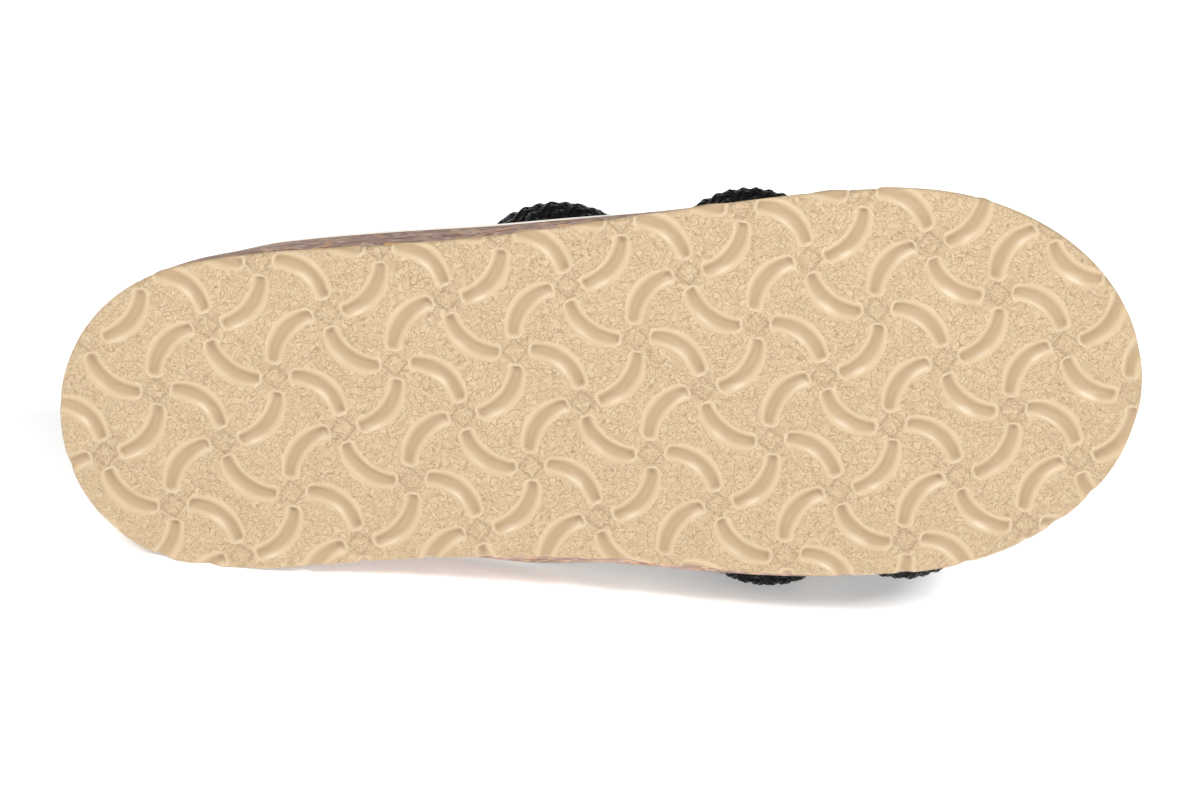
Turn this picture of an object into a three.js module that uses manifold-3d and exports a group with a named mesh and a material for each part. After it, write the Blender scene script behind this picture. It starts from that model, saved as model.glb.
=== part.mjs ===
// A two-strap footbed sandal for the right foot, with braided cord straps and a wavy grid cut in its tread.
// It is drawn standing: x from heel to toe, y towards the inner side of the foot, z up from the tread.
// At the end it is laid on its inner side, the tread facing -Y. Lengths are in millimetres.
import * as THREE from 'three';
import { mergeVertices } from 'three/addons/utils/BufferGeometryUtils.js';
import { ConvexHull } from 'three/addons/math/ConvexHull.js';
import Module from 'manifold-3d';

const wasm = await Module();
wasm.setup();

// Sole
const soleLength = 253.4;
const soleWidth = 93.6;
const heelRound = 38;
const toeRound = 58;
const heelTipY = 2.4;
const toeTipY = -1.65;
const flatLength = 150;
const toeSpring = 7.3;
const outsoleThickness = 4.4;
const outsoleTaper = 1.3;
const rimHeight = 27;
const outerTuck = 7;
const archOverhang = 7;
const wallBulge = 0.6;
const linerThickness = 1.8;
const clearance = 0.3;

// Tread
const treadPitch = 20;
const treadTurn = THREE.MathUtils.degToRad(39.3);
const treadNode = { x: 122.74, y: 0.5 };
const troughLength = 16.5;
const creaseRadius = 13.6;
const creaseOffset = 4.8;
const hollowWall = 2;
const bulgedWall = 3.25;
const bulgedEnd = 1.3;
const troughDepth = 1.3;
const troughFloor = 0.2;

// Straps
const strapWidth = 28;
const strapWall = 4.2;
const slotWall = 3.2;
const strapEdgeWall = 0.44;
const strapArch = 2.5;
const strapInset = 1;
const braidRaise = 1.3;
const cordPitch = 3.5;
const rearStrapHeight = 75;
const frontStrapHeight = 53.5;
const instepSlope = 0.3;
const slotDepth = 8;
const slotRise = 0.07;

// Buckles
const buckleLength = 23;
const buckleWire = 2.6;
const buckleCorner = 5;
const buckleBow = 3;
const prongWire = 2.2;

// Weight for its size of each stuff, in grams per cubic centimetre
const weights = { rubber: 1.2, cork: 0.6, suede: 0.9, cord: 0.3, steel: 7.85 };

// Outline: distance of each edge from the centre line, as a share of the sole's width
const outline = [
  { at: 0.0, outer: 0.375, inner: 0.443 },
  { at: 0.1, outer: 0.369, inner: 0.428 },
  { at: 0.15, outer: 0.376, inner: 0.427 },
  { at: 0.2, outer: 0.393, inner: 0.43 },
  { at: 0.3, outer: 0.405, inner: 0.413 },
  { at: 0.4, outer: 0.425, inner: 0.408 },
  { at: 0.5, outer: 0.458, inner: 0.417 },
  { at: 0.6, outer: 0.494, inner: 0.447 },
  { at: 0.7, outer: 0.522, inner: 0.47 },
  { at: 0.78, outer: 0.529, inner: 0.468 },
  { at: 0.9, outer: 0.529, inner: 0.464 },
  { at: 1.0, outer: 0.529, inner: 0.464 },
];

// Side of the cork: rim heights and the bed's middle as shares of the rim height at the heel,
// the outer rim's tuck as a share of its greatest, and the inner rim's reach as a share of the arch's overhang
const wall = [
  { at: 0.0, outerRim: 1.0, innerRim: 1.0, bed: 0.72, tuck: 0.5, reach: -0.7 },
  { at: 0.06, outerRim: 1.0, innerRim: 1.0, bed: 0.7, tuck: 0.8, reach: -1.0 },
  { at: 0.12, outerRim: 1.0, innerRim: 0.98, bed: 0.69, tuck: 0.82, reach: -1.1 },
  { at: 0.2, outerRim: 0.98, innerRim: 0.94, bed: 0.69, tuck: 0.62, reach: -0.8 },
  { at: 0.3, outerRim: 0.93, innerRim: 0.86, bed: 0.68, tuck: 0.43, reach: 0.15 },
  { at: 0.42, outerRim: 0.84, innerRim: 0.77, bed: 0.63, tuck: 0.46, reach: 1.0 },
  { at: 0.5, outerRim: 0.74, innerRim: 0.7, bed: 0.56, tuck: 0.52, reach: 0.86 },
  { at: 0.6, outerRim: 0.6, innerRim: 0.59, bed: 0.46, tuck: 0.68, reach: 0.7 },
  { at: 0.7, outerRim: 0.54, innerRim: 0.53, bed: 0.4, tuck: 0.64, reach: 0.5 },
  { at: 0.8, outerRim: 0.54, innerRim: 0.53, bed: 0.4, tuck: 0.6, reach: 0.35 },
  { at: 0.9, outerRim: 0.58, innerRim: 0.57, bed: 0.42, tuck: 0.5, reach: 0.1 },
  { at: 1.0, outerRim: 0.63, innerRim: 0.63, bed: 0.46, tuck: 0.3, reach: -0.2 },
];

// The bed across the sole: share of the way out from the middle, and share of the rise to the rim
const bedRows = [
  { out: 1.0, rise: 1.0 },
  { out: 0.95, rise: 1.0 },
  { out: 0.89, rise: 0.78 },
  { out: 0.8, rise: 0.42 },
  { out: 0.55, rise: 0.06 },
  { out: 0.0, rise: 0.0 },
];

// Strap paths along the foot side of the band, from the outer slot over the instep to the inner slot:
// share of the way from the centre line to the sole's edge, and share of the rise from the rim to the top
const rearPath = [
  { out: -0.765, up: -0.15 },
  { out: -0.765, up: -0.02 },
  { out: -0.805, up: 0.08 },
  { out: -0.835, up: 0.17 },
  { out: -0.785, up: 0.35 },
  { out: -0.68, up: 0.54 },
  { out: -0.49, up: 0.76 },
  { out: -0.2, up: 0.95 },
  { out: 0.1, up: 1.0 },
  { out: 0.4, up: 0.95 },
  { out: 0.68, up: 0.85 },
  { out: 0.88, up: 0.73 },
  { out: 1.01, up: 0.6 },
  { out: 1.082, up: 0.47 },
  { out: 1.092, up: 0.38 },
  { out: 1.105, up: 0.298 },
  { out: 1.125, up: 0.215 },
  { out: 1.145, up: 0.135 },
  { out: 1.105, up: 0.085 },
  { out: 1.03, up: 0.04 },
  { out: 0.965, up: -0.01 },
  { out: 0.94, up: -0.07 },
  { out: 0.93, up: -0.15 },
];
const frontPath = [
  { out: -0.785, up: -0.2 },
  { out: -0.785, up: 0.0 },
  { out: -0.805, up: 0.1 },
  { out: -0.835, up: 0.22 },
  { out: -0.79, up: 0.42 },
  { out: -0.7, up: 0.65 },
  { out: -0.5, up: 0.86 },
  { out: -0.21, up: 0.98 },
  { out: 0.09, up: 1.0 },
  { out: 0.39, up: 0.95 },
  { out: 0.66, up: 0.84 },
  { out: 0.86, up: 0.7 },
  { out: 1.0, up: 0.55 },
  { out: 1.075, up: 0.4 },
  { out: 1.1, up: 0.26 },
  { out: 1.075, up: 0.15 },
  { out: 0.995, up: 0.07 },
  { out: 0.935, up: -0.01 },
  { out: 0.925, up: -0.08 },
  { out: 0.925, up: -0.2 },
];
const straps = {
  rear: { outerAt: 0.451, innerAt: 0.64, height: rearStrapHeight, path: rearPath, buckleAt: 0.45 },
  front: { outerAt: 0.634, innerAt: 0.785, height: frontStrapHeight, path: frontPath, buckleAt: 0.45 },
};

const stations = 32;
const flatness = 0.08;
const weld = 1e-4;
const floorLean = THREE.MathUtils.degToRad(18);

// Smooth value of one column of a table at a share of the length
function read(table, column, at) {
  const last = table.length - 1;
  const here = THREE.MathUtils.clamp(at, table[0].at, table[last].at);
  let i = 0;
  while (i < last - 1 && table[i + 1].at < here) i += 1;
  const slope = (j) => {
    const a = Math.max(j - 1, 0);
    const b = Math.min(j + 1, last);
    return (table[b][column] - table[a][column]) / (table[b].at - table[a].at);
  };
  const span = table[i + 1].at - table[i].at;
  const t = (here - table[i].at) / span;
  const rise = table[i + 1][column] - table[i][column];
  const start = slope(i) * span - rise;
  const end = rise - slope(i + 1) * span;
  return table[i][column] + rise * t + t * (1 - t) * (start * (1 - t) + end * t);
}

// Distance of the sole's edge from the centre line, side -1 outer and 1 inner, with both ends rounded
function edgeY(x, side) {
  const full = side * read(outline, side < 0 ? 'outer' : 'inner', x / soleLength) * soleWidth;
  const fromToe = soleLength - x;
  if (x < heelRound) return heelTipY + (full - heelTipY) * Math.sqrt(1 - (1 - x / heelRound) ** 2);
  if (fromToe < toeRound) {
    return toeTipY + (full - toeTipY) * Math.sqrt(Math.max(1 - (1 - fromToe / toeRound) ** 2, 0));
  }
  return full;
}

// The sole bends up from the end of its flat stretch to the toe, its thickness with it
function bend(x, y, z) {
  const past = Math.max(x - flatLength, 0);
  const curl = (2 * toeSpring) / (soleLength - flatLength) ** 2;
  const turn = curl * past;
  const along = x - (curl ** 2 * past ** 3) / 6;
  return new THREE.Vector3(along - z * Math.sin(turn), y, (curl * past ** 2) / 2 + z * Math.cos(turn));
}

// Points round the edge from the heel tip by the outer side to the toe tip and back by the inner side
const edge = Array.from({ length: 2 * stations }, (_, i) => {
  const side = i <= stations ? -1 : 1;
  const step = i <= stations ? i : 2 * stations - i;
  const x = (soleLength * (1 - Math.cos((Math.PI * step) / stations))) / 2;
  return { x, y: edgeY(x, side), at: x / soleLength };
});
edge.forEach((point, i) => {
  const before = edge.at(i - 1);
  const after = edge[(i + 1) % edge.length];
  const normal = new THREE.Vector2(after.y - before.y, before.x - after.x).normalize();
  point.normal = normal;
  point.innerShare = (1 + normal.y) / 2;
  point.spineX = THREE.MathUtils.clamp(point.x, heelRound, soleLength - toeRound);
  point.spineY = (edgeY(point.spineX, -1) + edgeY(point.spineX, 1)) / 2;
});

const mix = THREE.MathUtils.lerp;

function rimAt(at, innerShare) {
  return rimHeight * mix(read(wall, 'outerRim', at), read(wall, 'innerRim', at), innerShare);
}

function rimReach(point) {
  const outer = -outerTuck * read(wall, 'tuck', point.at);
  const inner = archOverhang * read(wall, 'reach', point.at);
  return mix(outer, inner, point.innerShare);
}

function outsoleReach(point) {
  const inner = (rimReach(point) * outsoleThickness) / rimHeight;
  return mix(-outsoleTaper, Math.max(inner, -outsoleTaper), point.innerShare);
}

// One ring round the sole: how far out of the edge, how high, and the share of the way out from the middle
function ring(reach, height, out = 1) {
  return edge.map((point) => {
    const e = reach(point);
    const x = mix(point.spineX, point.x + point.normal.x * e, out);
    const y = mix(point.spineY, point.y + point.normal.y * e, out);
    return bend(x, y, height(point));
  });
}

function meshFrom(points, triangles) {
  const geometry = new THREE.BufferGeometry();
  const flat = points.flatMap((p) => [p.x, p.y, p.z]);
  geometry.setAttribute('position', new THREE.Float32BufferAttribute(flat, 3));
  geometry.setIndex(triangles.flat());
  const merged = mergeVertices(geometry, weld);
  const index = merged.index.array;
  const kept = [];
  for (let i = 0; i < index.length; i += 3) {
    const [a, b, c] = index.slice(i, i + 3);
    if (a !== b && b !== c && c !== a) kept.push(a, b, c);
  }
  merged.setIndex(kept);
  return merged;
}

// Skin over rings of equal count, joined one to the next; flip turns a quad's diagonal
function skin(rings, flip = () => false, wrap = false) {
  const count = rings[0].length;
  const triangles = [];
  const last = wrap ? rings.length : rings.length - 1;
  for (let r = 0; r < last; r += 1) {
    const next = (r + 1) % rings.length;
    for (let i = 0; i < count; i += 1) {
      const j = (i + 1) % count;
      const [a, b, c, d] = [r * count + i, r * count + j, next * count + j, next * count + i];
      if (flip(r, i)) triangles.push([a, b, d], [b, c, d]);
      else triangles.push([a, b, c], [a, c, d]);
    }
  }
  return { points: rings.flat(), triangles };
}

// Caps for the first and last rings of an open skin, each ring being convex enough for a strip
function cap(count, start, facing) {
  const triangles = [];
  for (let i = 1; i < count - 1; i += 1) {
    const triangle = [start, start + i, start + i + 1];
    triangles.push(facing ? triangle : triangle.reverse());
  }
  return triangles;
}

function solid(geometry) {
  const plain = new THREE.BufferGeometry();
  plain.setAttribute('position', geometry.getAttribute('position'));
  plain.setIndex(geometry.index);
  const merged = mergeVertices(plain, weld);
  const vertProperties = new Float32Array(merged.getAttribute('position').array);
  const triVerts = new Uint32Array(merged.index.array);
  return new wasm.Manifold(new wasm.Mesh({ numProp: 3, vertProperties, triVerts }));
}

// A cut body with its flat faces made plain again, without any chip that the cuts set free
function whole(manifold) {
  const bodies = manifold.asOriginal().simplify(flatness).decompose();
  return bodies.reduce((most, body) => (body.volume() > most.volume() ? body : most));
}

function geometryOf(manifold) {
  const mesh = manifold.getMesh();
  const geometry = new THREE.BufferGeometry();
  geometry.setAttribute('position', new THREE.BufferAttribute(mesh.vertProperties, 3));
  geometry.setIndex(new THREE.BufferAttribute(mesh.triVerts, 1));
  return geometry;
}

// Outsole, before its tread is cut
function outsoleBlank() {
  const flatTop = () => outsoleThickness;
  const flatBottom = () => 0;
  const none = () => 0;
  const { points, triangles } = skin([
    ring(none, flatBottom, 0),
    ring(none, flatBottom, 0.5),
    ring(none, flatBottom),
    ring(outsoleReach, flatTop),
    ring(outsoleReach, flatTop, 0.5),
    ring(outsoleReach, flatTop, 0),
  ]);
  return meshFrom(points, triangles);
}

// One curved trough between two nodes of the grid: its crease follows a circle that bows to its bulged side
function trough(middle, direction) {
  const side = { x: -direction.y, y: direction.x };
  const rows = [0, 0.07, 0.35, 0.65, 0.93, 1];
  const place = (share, across, z) => {
    const angle = ((share - 0.5) * troughLength) / creaseRadius;
    const long = (creaseRadius + across) * Math.sin(angle);
    const wide = creaseOffset - creaseRadius + (creaseRadius + across) * Math.cos(angle);
    return bend(middle.x + direction.x * long + side.x * wide, middle.y + direction.y * long + side.y * wide, z);
  };
  const outlineAt = (width, z, pull) => {
    const round = (share) => Math.sqrt(Math.max(1 - Math.abs(2 * share - 1) ** 7, 0)) * width;
    const bulge = (share) => mix(bulgedWall, bulgedEnd, (2 * share - 1) ** 2);
    const inward = (share) => mix(pull, 1 - pull, share);
    const bulged = rows.slice(1, -1).map((share) => place(inward(share), round(share) * bulge(share), z));
    const hollow = rows.map((share) => place(inward(share), -round(share) * hollowWall, z));
    return [...hollow, ...bulged.reverse()];
  };
  const mouth = outlineAt(1 + (clearance / troughDepth) * (1 - troughFloor), -clearance, 0);
  const floor = outlineAt(troughFloor, troughDepth, 0.06);
  const { points, triangles } = skin([mouth, floor]);
  const count = mouth.length;
  triangles.push(...cap(count, 0, false), ...cap(count, count, true));
  return meshFrom(points, triangles);
}

// The grid of nodes turned across the sole: troughs leave each even node, all bowed the same way round
function cutTread(blank) {
  const along = { x: Math.cos(treadTurn), y: Math.sin(treadTurn) };
  const across = { x: Math.sin(treadTurn), y: -Math.cos(treadTurn) };
  const reach = Math.ceil(soleLength / treadPitch);
  let cut = solid(blank);
  for (let i = -reach; i <= reach; i += 1) {
    for (let j = -reach; j <= reach; j += 1) {
      if ((i + j) % 2 !== 0) continue;
      const node = {
        x: treadNode.x + treadPitch * (i * along.x + j * across.x),
        y: treadNode.y + treadPitch * (i * along.y + j * across.y),
      };
      for (const [a, b] of [[1, 0], [0, 1], [-1, 0], [0, -1]]) {
        const direction = { x: a * along.x + b * across.x, y: a * along.y + b * across.y };
        const middle = { x: node.x + (direction.x * treadPitch) / 2, y: node.y + (direction.y * treadPitch) / 2 };
        if (middle.x < -troughLength / 2 || middle.x > soleLength + troughLength / 2) continue;
        if (Math.abs(middle.y) > soleWidth / 2 + troughLength) continue;
        cut = cut.subtract(solid(trough(middle, direction)));
      }
    }
  }
  return whole(cut);
}

// Height of the footbed's face at one row of the bed's table
function bedHeight(point, row) {
  const at = mix(point.spineX / soleLength, point.at, row.out);
  return mix(rimHeight * read(wall, 'bed', at), rimAt(at, point.innerShare), row.rise);
}

// Cork midsole: flat below, a slightly bulged wall, and the cupped footbed on top
function midsoleBlank() {
  const bottom = outsoleThickness + clearance;
  const under = linerThickness + clearance;
  const top = (point) => rimAt(point.at, point.innerShare) - under;
  const level = (share) => (point) => mix(bottom, top(point), share);
  const reach = (share) => (point) => {
    const bulge = wallBulge * Math.sin(Math.PI * share);
    return mix(outsoleReach(point), rimReach(point), share) + bulge;
  };
  const { points, triangles } = skin([
    ring(outsoleReach, () => bottom, 0),
    ring(outsoleReach, () => bottom, 0.5),
    ring(outsoleReach, () => bottom),
    ring(reach(0.4), level(0.4)),
    ring(reach(0.75), level(0.75)),
    ...bedRows.map((row) => ring(rimReach, (point) => bedHeight(point, row) - under, row.out)),
  ]);
  return meshFrom(points, triangles);
}

// Insole: a thin liner over the whole footbed, its cut edge flush with the cork
function insoleBlank() {
  const face = bedRows.map((row) => ring(rimReach, (point) => bedHeight(point, row), row.out));
  const back = bedRows.map((row) => ring(rimReach, (point) => bedHeight(point, row) - linerThickness, row.out));
  const { points, triangles } = skin([...back.reverse(), ...face]);
  return meshFrom(points, triangles);
}

// A point of a strap: u along its path, v across its width from -0.5 to 0.5, and height above its foot side
function strapCurve(strap) {
  const points = strap.path.map((row) => new THREE.Vector3(row.out, row.up, 0));
  return new THREE.CatmullRomCurve3(points, false, 'centripetal');
}
for (const strap of Object.values(straps)) {
  strap.curve = strapCurve(strap);
  strap.curve.arcLengthDivisions = 400;
}

function strapFoot(strap, u, v, grow) {
  const { x: out, y: up } = strap.curve.getPointAt(THREE.MathUtils.clamp(u, 0, 1));
  const first = strap.path[0].out;
  const plan = THREE.MathUtils.clamp((out - first) / (strap.path.at(-1).out - first), 0, 1);
  const middleX = mix(strap.outerAt, strap.innerAt, plan) * soleLength;
  const x = middleX + v * (strapWidth + 2 * grow);
  const halfMiddle = ((strap.outerAt + strap.innerAt) * soleLength) / 2;
  const y = Math.abs(out) * edgeY(x, out < 0 ? -1 : 1);
  const rim = rimAt(x / soleLength, THREE.MathUtils.clamp((1 + out) / 2, 0, 1));
  const top = strap.height - instepSlope * (x - halfMiddle);
  const rise = up < 0 ? (up / -strap.path[0].up) * slotDepth : up * (top - rim);
  return bend(x, y, rim + rise);
}

function onStrap(strap, u, v, height, grow = 0) {
  const step = 0.004;
  const foot = strapFoot(strap, u, v, grow);
  const before = strapFoot(strap, Math.max(u - step, 0), v, grow);
  const along = strapFoot(strap, Math.min(u + step, 1), v, grow).sub(before);
  const across = strapFoot(strap, u, v + step, grow).sub(strapFoot(strap, u, v - step, grow));
  const normal = across.cross(along).normalize();
  return foot.addScaledVector(normal, height);
}

function strapLength(strap) {
  const steps = 60;
  let total = 0;
  for (let i = 0; i < steps; i += 1) {
    total += strapFoot(strap, i / steps, 0, 0).distanceTo(strapFoot(strap, (i + 1) / steps, 0, 0));
  }
  return total;
}

// The band's section: its edges bow towards the foot, and its wall is thickest in the middle
const bandBack = (v) => -strapInset - strapArch * (2 * v) ** 2;
const crown = (v) => 1 - (1 - strapEdgeWall) * (2 * v) ** 2;

// The bow and the cords fade out where the band enters its slots
function slotFade(strap, u) {
  const up = strap.curve.getPointAt(u).y;
  return THREE.MathUtils.smoothstep(up, 0, slotRise);
}

// The band: a wall with its cords raised in zigzags, or grown and plain to cut its own slots
function strapBand(strap, grow) {
  const columns = Math.round(strapWidth / cordPitch);
  const rows = 2 * Math.round(strapLength(strap) / cordPitch / 2);
  const inside = [1, 0.7, 0.3, 0];
  const rings = [];
  for (let i = 0; i <= rows; i += 1) {
    const u = i / rows;
    const shown = slotFade(strap, u);
    const face = [];
    for (let j = 0; j <= columns; j += 1) {
      const v = j / columns - 0.5;
      const raised = grow > 0 || (i + j) % 2 === 0 ? braidRaise : 0;
      const thick = mix(slotWall, strapWall + raised, shown) * crown(v);
      face.push(onStrap(strap, u, v, bandBack(v) * shown + thick + grow, grow));
    }
    const back = inside.map((share) => onStrap(strap, u, share - 0.5, bandBack(share - 0.5) * shown - grow, grow));
    rings.push([...face, ...back]);
  }
  const push = (ringPoints, from) => {
    ringPoints.forEach((p, i) => p.addScaledVector(p.clone().sub(from[i]).normalize(), grow));
  };
  push(rings[0], rings[1].map((p) => p.clone()));
  push(rings[rows], rings[rows - 1].map((p) => p.clone()));
  const count = rings[0].length;
  const zigzag = (r, i) => i < columns && (r % 2 === 0 ? (r + i) % 2 === 1 : (r + i) % 2 === 0);
  const { points, triangles } = skin(rings, zigzag);
  triangles.push(...cap(count, 0, false), ...cap(count, rows * count, true));
  return meshFrom(points, triangles);
}

// A round wire through a closed or open run of points that all lie about square to one direction
function wire(points, facing, diameter, closed) {
  const sides = 6;
  const last = points.length - 1;
  const rings = points.map((point, i) => {
    const before = closed ? points.at(i - 1) : points[Math.max(i - 1, 0)];
    const after = closed ? points[(i + 1) % points.length] : points[Math.min(i + 1, last)];
    const run = after.clone().sub(before).normalize();
    const across = facing.clone().cross(run).normalize();
    const rise = run.clone().cross(across);
    return Array.from({ length: sides }, (_, k) => {
      const angle = (2 * Math.PI * k) / sides;
      return point.clone()
        .addScaledVector(rise, (Math.cos(angle) * diameter) / 2)
        .addScaledVector(across, (-Math.sin(angle) * diameter) / 2);
    });
  });
  const { points: all, triangles } = skin(rings, () => false, closed);
  if (!closed) triangles.push(...cap(sides, 0, false), ...cap(sides, last * sides, true));
  return meshFrom(all, triangles);
}

// Directions on a strap at its buckle, and the angle by which its path leaves the square to its width
function buckleAxes(strap) {
  const step = 0.01;
  const at = strap.buckleAt;
  const along = onStrap(strap, at + step, 0, 0).sub(onStrap(strap, at - step, 0, 0)).normalize();
  const across = onStrap(strap, at, step, 0).sub(onStrap(strap, at, -step, 0)).normalize();
  const above = across.clone().cross(along).normalize();
  return { along, above, skew: Math.asin(along.dot(across)) };
}

// Place on a strap in millimetres from its buckle's middle: along the path, square to it, and off its foot side
function atBuckle(strap, along, across, height) {
  const { skew } = buckleAxes(strap);
  const u = strap.buckleAt + (along - across * Math.tan(skew)) / strapLength(strap);
  return onStrap(strap, u, across / Math.cos(skew) / strapWidth, height);
}

// Top of the cords in the band's middle, where a buckle's wires rest
const bandTop = strapWall + braidRaise - strapInset + clearance;

// Buckle frame: a round-cornered ring bowed over the band, with a bar under the band at its middle
function buckleFrame(strap) {
  const { along, above: facing, skew } = buckleAxes(strap);
  const halfLong = buckleLength / 2;
  const halfWide = (strapWidth * Math.cos(skew)) / 2 + clearance + buckleWire;
  const overBand = (across) => bandTop + buckleWire / 2 - buckleBow * (across / halfWide) ** 2;
  const ringPoints = [];
  for (const [a, b, turn] of [[1, 1, 0], [-1, 1, 1], [-1, -1, 2], [1, -1, 3]]) {
    const [long, wide] = turn % 2 === 0 ? [a * halfLong, 0] : [0, b * halfWide];
    ringPoints.push(atBuckle(strap, long, wide, overBand(wide)));
    for (const share of [0, 0.5, 1]) {
      const angle = (Math.PI * (turn + share)) / 2;
      const longways = a * (halfLong - buckleCorner) + buckleCorner * Math.cos(angle);
      const sideways = b * (halfWide - buckleCorner) + buckleCorner * Math.sin(angle);
      ringPoints.push(atBuckle(strap, longways, sideways, overBand(sideways)));
    }
  }
  const frame = solid(wire(ringPoints, facing, buckleWire, true));
  const under = (across) => bandBack(across / Math.cos(skew) / strapWidth) - 2 * clearance - buckleWire / 2;
  const inward = halfWide - buckleCorner / 3;
  const bar = [
    [-halfWide, overBand(halfWide)],
    [-halfWide, under(inward) / 2],
    [-inward, under(inward)],
    [-halfWide / 2, under(halfWide / 2)],
    [0, under(0)],
    [halfWide / 2, under(halfWide / 2)],
    [inward, under(inward)],
    [halfWide, under(inward) / 2],
    [halfWide, overBand(halfWide)],
  ];
  const barPoints = bar.map(([across, height]) => atBuckle(strap, 0, across, height));
  return frame.add(solid(wire(barPoints, along, buckleWire, false)));
}

// Prong: a straight wire that lies across both ends of the frame
function buckleProng(strap) {
  const height = bandTop + buckleWire + clearance + prongWire / 2;
  const reach = buckleLength / 2 + buckleWire / 2;
  const points = [-1, 0, 1].map((share) => atBuckle(strap, share * reach, 0, height));
  return solid(wire(points, buckleAxes(strap).above, prongWire, false));
}

const looks = {
  tread: new THREE.MeshStandardMaterial({ color: '#dfc6a3', roughness: 0.7 }),
  cork: new THREE.MeshStandardMaterial({ color: '#6f5546', roughness: 0.85 }),
  suede: new THREE.MeshStandardMaterial({ color: '#c9b79c', roughness: 0.95 }),
  cord: new THREE.MeshStandardMaterial({ color: '#161616', roughness: 0.8 }),
  metal: new THREE.MeshStandardMaterial({ color: '#6d6a66', roughness: 0.35, metalness: 1 }),
};

const slots = Object.values(straps).map((strap) => solid(strapBand(strap, clearance)));
const cutSlots = (blank) => whole(slots.reduce((body, slot) => body.subtract(slot), solid(blank)));

const pieces = [
  { name: 'outsole', body: cutTread(outsoleBlank()), look: looks.tread, weight: weights.rubber },
  { name: 'midsole', body: cutSlots(midsoleBlank()), look: looks.cork, weight: weights.cork },
  { name: 'insole', body: cutSlots(insoleBlank()), look: looks.suede, weight: weights.suede },
];
for (const [name, strap] of Object.entries(straps)) {
  const band = solid(strapBand(strap, 0));
  pieces.push({ name: `strap_${name}`, body: band, look: looks.cord, weight: weights.cord });
  pieces.push({ name: `buckle_frame_${name}`, body: buckleFrame(strap), look: looks.metal, weight: weights.steel });
  pieces.push({ name: `buckle_prong_${name}`, body: buckleProng(strap), look: looks.metal, weight: weights.steel });
}
for (const piece of pieces) piece.geometry = geometryOf(piece.body);

// Centre of mass, from the volume under each triangle
function centreOfMass() {
  const centre = new THREE.Vector3();
  let mass = 0;
  for (const { geometry, weight } of pieces) {
    const place = geometry.getAttribute('position');
    const index = geometry.index.array;
    const corner = (k) => new THREE.Vector3().fromBufferAttribute(place, index[k]);
    for (let i = 0; i < index.length; i += 3) {
      const [a, b, c] = [corner(i), corner(i + 1), corner(i + 2)];
      const part = (weight * a.dot(b.clone().cross(c))) / 6;
      mass += part;
      centre.addScaledVector(a.add(b).add(c), part / 4);
    }
  }
  return centre.divideScalar(mass);
}

// The floor's face of the hull on the inner side: the one that holds the centre of mass farthest inside its edges
function floorNormal() {
  const points = pieces.flatMap(({ geometry }) => {
    const place = geometry.getAttribute('position');
    return Array.from({ length: place.count }, (_, i) => new THREE.Vector3().fromBufferAttribute(place, i));
  });
  const hull = new ConvexHull().setFromPoints(points);
  const centre = centreOfMass();
  let best = { depth: -Infinity };
  for (const face of hull.faces) {
    if (face.normal.y < Math.cos(floorLean)) continue;
    let depth = Infinity;
    let side = face.edge;
    do {
      const tail = side.tail().point;
      const run = side.head().point.clone().sub(tail).normalize();
      const inward = face.normal.clone().cross(run);
      depth = Math.min(depth, centre.clone().sub(tail).dot(inward));
      side = side.next;
    } while (side !== face.edge);
    if (depth > best.depth) best = { depth, normal: face.normal.clone() };
  }
  return best.normal;
}

// Laid on its inner side: that face down, heel to toe along +X, and the middle of the base at the origin
const up = floorNormal().negate();
const toe = new THREE.Vector3(1, 0, 0).addScaledVector(up, -up.x).normalize();
const away = up.clone().cross(toe);
const lay = new THREE.Matrix4().makeBasis(toe, away, up).transpose();

const sandal = new THREE.Group();
for (const { name, geometry, look } of pieces) {
  const mesh = new THREE.Mesh(geometry, look);
  mesh.name = name;
  sandal.add(mesh);
}
sandal.applyMatrix4(lay);
sandal.updateMatrixWorld(true);
const box = new THREE.Box3().setFromObject(sandal, true);
const middle = box.getCenter(new THREE.Vector3());
sandal.position.sub(new THREE.Vector3(middle.x, middle.y, box.min.z));

export default sandal;
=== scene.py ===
# Looks of a right-foot sandal: tan grid tread, cork body, cream suede liner and two braided cord straps.
# Every piece is drawn standing, in millimetres: x from heel to toe, y to the foot's inner side, z up from
# the tread. The function laid() turns it onto its side, as the frame has it, and into metres.
import math

import bmesh
import bpy
import numpy as np
from mathutils import Matrix, Vector
from mathutils.geometry import delaunay_2d_cdt


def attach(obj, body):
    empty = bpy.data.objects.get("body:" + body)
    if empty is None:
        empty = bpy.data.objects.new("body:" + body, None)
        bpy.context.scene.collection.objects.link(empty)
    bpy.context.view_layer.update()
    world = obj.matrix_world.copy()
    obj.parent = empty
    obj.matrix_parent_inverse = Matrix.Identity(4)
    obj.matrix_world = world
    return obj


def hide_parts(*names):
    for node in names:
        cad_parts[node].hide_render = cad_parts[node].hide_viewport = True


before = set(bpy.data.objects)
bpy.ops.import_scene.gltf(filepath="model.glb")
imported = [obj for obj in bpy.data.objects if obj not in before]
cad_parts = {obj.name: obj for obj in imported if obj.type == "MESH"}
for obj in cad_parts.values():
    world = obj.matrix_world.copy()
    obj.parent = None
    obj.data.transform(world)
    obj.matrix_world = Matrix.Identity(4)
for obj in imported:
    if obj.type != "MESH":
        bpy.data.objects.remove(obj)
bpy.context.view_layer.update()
print("frame loaded")

# The shoe on its side: how far the tread faces up, how far the sole climbs to the toe, and where it moves to
lay = {"lean": 9.6932, "slope": 8.0372, "move": (-125.446, -38.503, 33.955)}

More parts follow.
